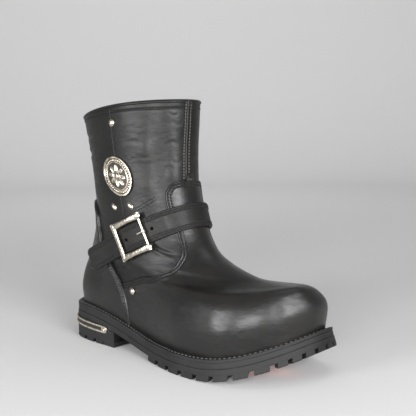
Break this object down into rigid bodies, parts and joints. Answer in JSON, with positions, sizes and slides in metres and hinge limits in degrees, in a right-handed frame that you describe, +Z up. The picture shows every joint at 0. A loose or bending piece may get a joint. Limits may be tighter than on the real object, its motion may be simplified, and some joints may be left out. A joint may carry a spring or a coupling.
{
  "type": "motorcycle boot",
  "caption": "Pull-on leather motorcycle boot for the right foot, with an ankle strap and buckle, a heel counter, a round side badge and a lugged rubber sole.",
  "frame": {"origin": "on the ground, under the middle of the heel's rear lug", "axes": "+X from the heel to the toe, +Y to the inner (medial) side of the foot, +Z up"},
  "size_m": [0.318, 0.1271, 0.2631],
  "materials": {
    "shaft_leather": "satin",
    "overlay_leather": "satin",
    "strap_leather": "satin",
    "sole_rubber": "matte",
    "grip_rubber": "matte",
    "ridge_rubber": "matte",
    "lining": "matte",
    "trim_metal": "satin",
    "plate_metal": "satin"
  },
  "bodies": {
    "root": {"outsole": "sole_rubber", "heel": "sole_rubber", "midsole": "sole_rubber", "welt": "sole_rubber", "insole": "lining", "upper": "shaft_leather", "vamp": "overlay_leather", "counter": "overlay_leather", "strap": "strap_leather", "buckle_frame": "trim_metal", "buckle_prong": "trim_metal", "badge": "trim_metal", "rivet_top": "trim_metal", "rivet_back": "trim_metal", "rivet_front": "trim_metal", "rivet_heel_lateral": "trim_metal", "rivet_heel_medial": "trim_metal", "heel_plate": "plate_metal", "plate_screw_rear": "plate_metal", "plate_screw_front": "plate_metal", "grip_1": "grip_rubber", "grip_2": "grip_rubber", "grip_3": "grip_rubber", "grip_4": "grip_rubber", "grip_5": "grip_rubber", "grip_6": "grip_rubber", "grip_7": "grip_rubber", "grip_8": "grip_rubber", "sole_medallion": "grip_rubber", "sole_eyelet_1": "trim_metal", "sole_eyelet_2": "trim_metal", "sole_eyelet_3": "trim_metal", "sole_eyelet_4": "trim_metal", "heel_ridge_lateral": "ridge_rubber", "heel_ridge_medial": "ridge_rubber", "heel_grip_front": "grip_rubber", "heel_grip_rear": "grip_rubber"}
  },
  "joints": []
}
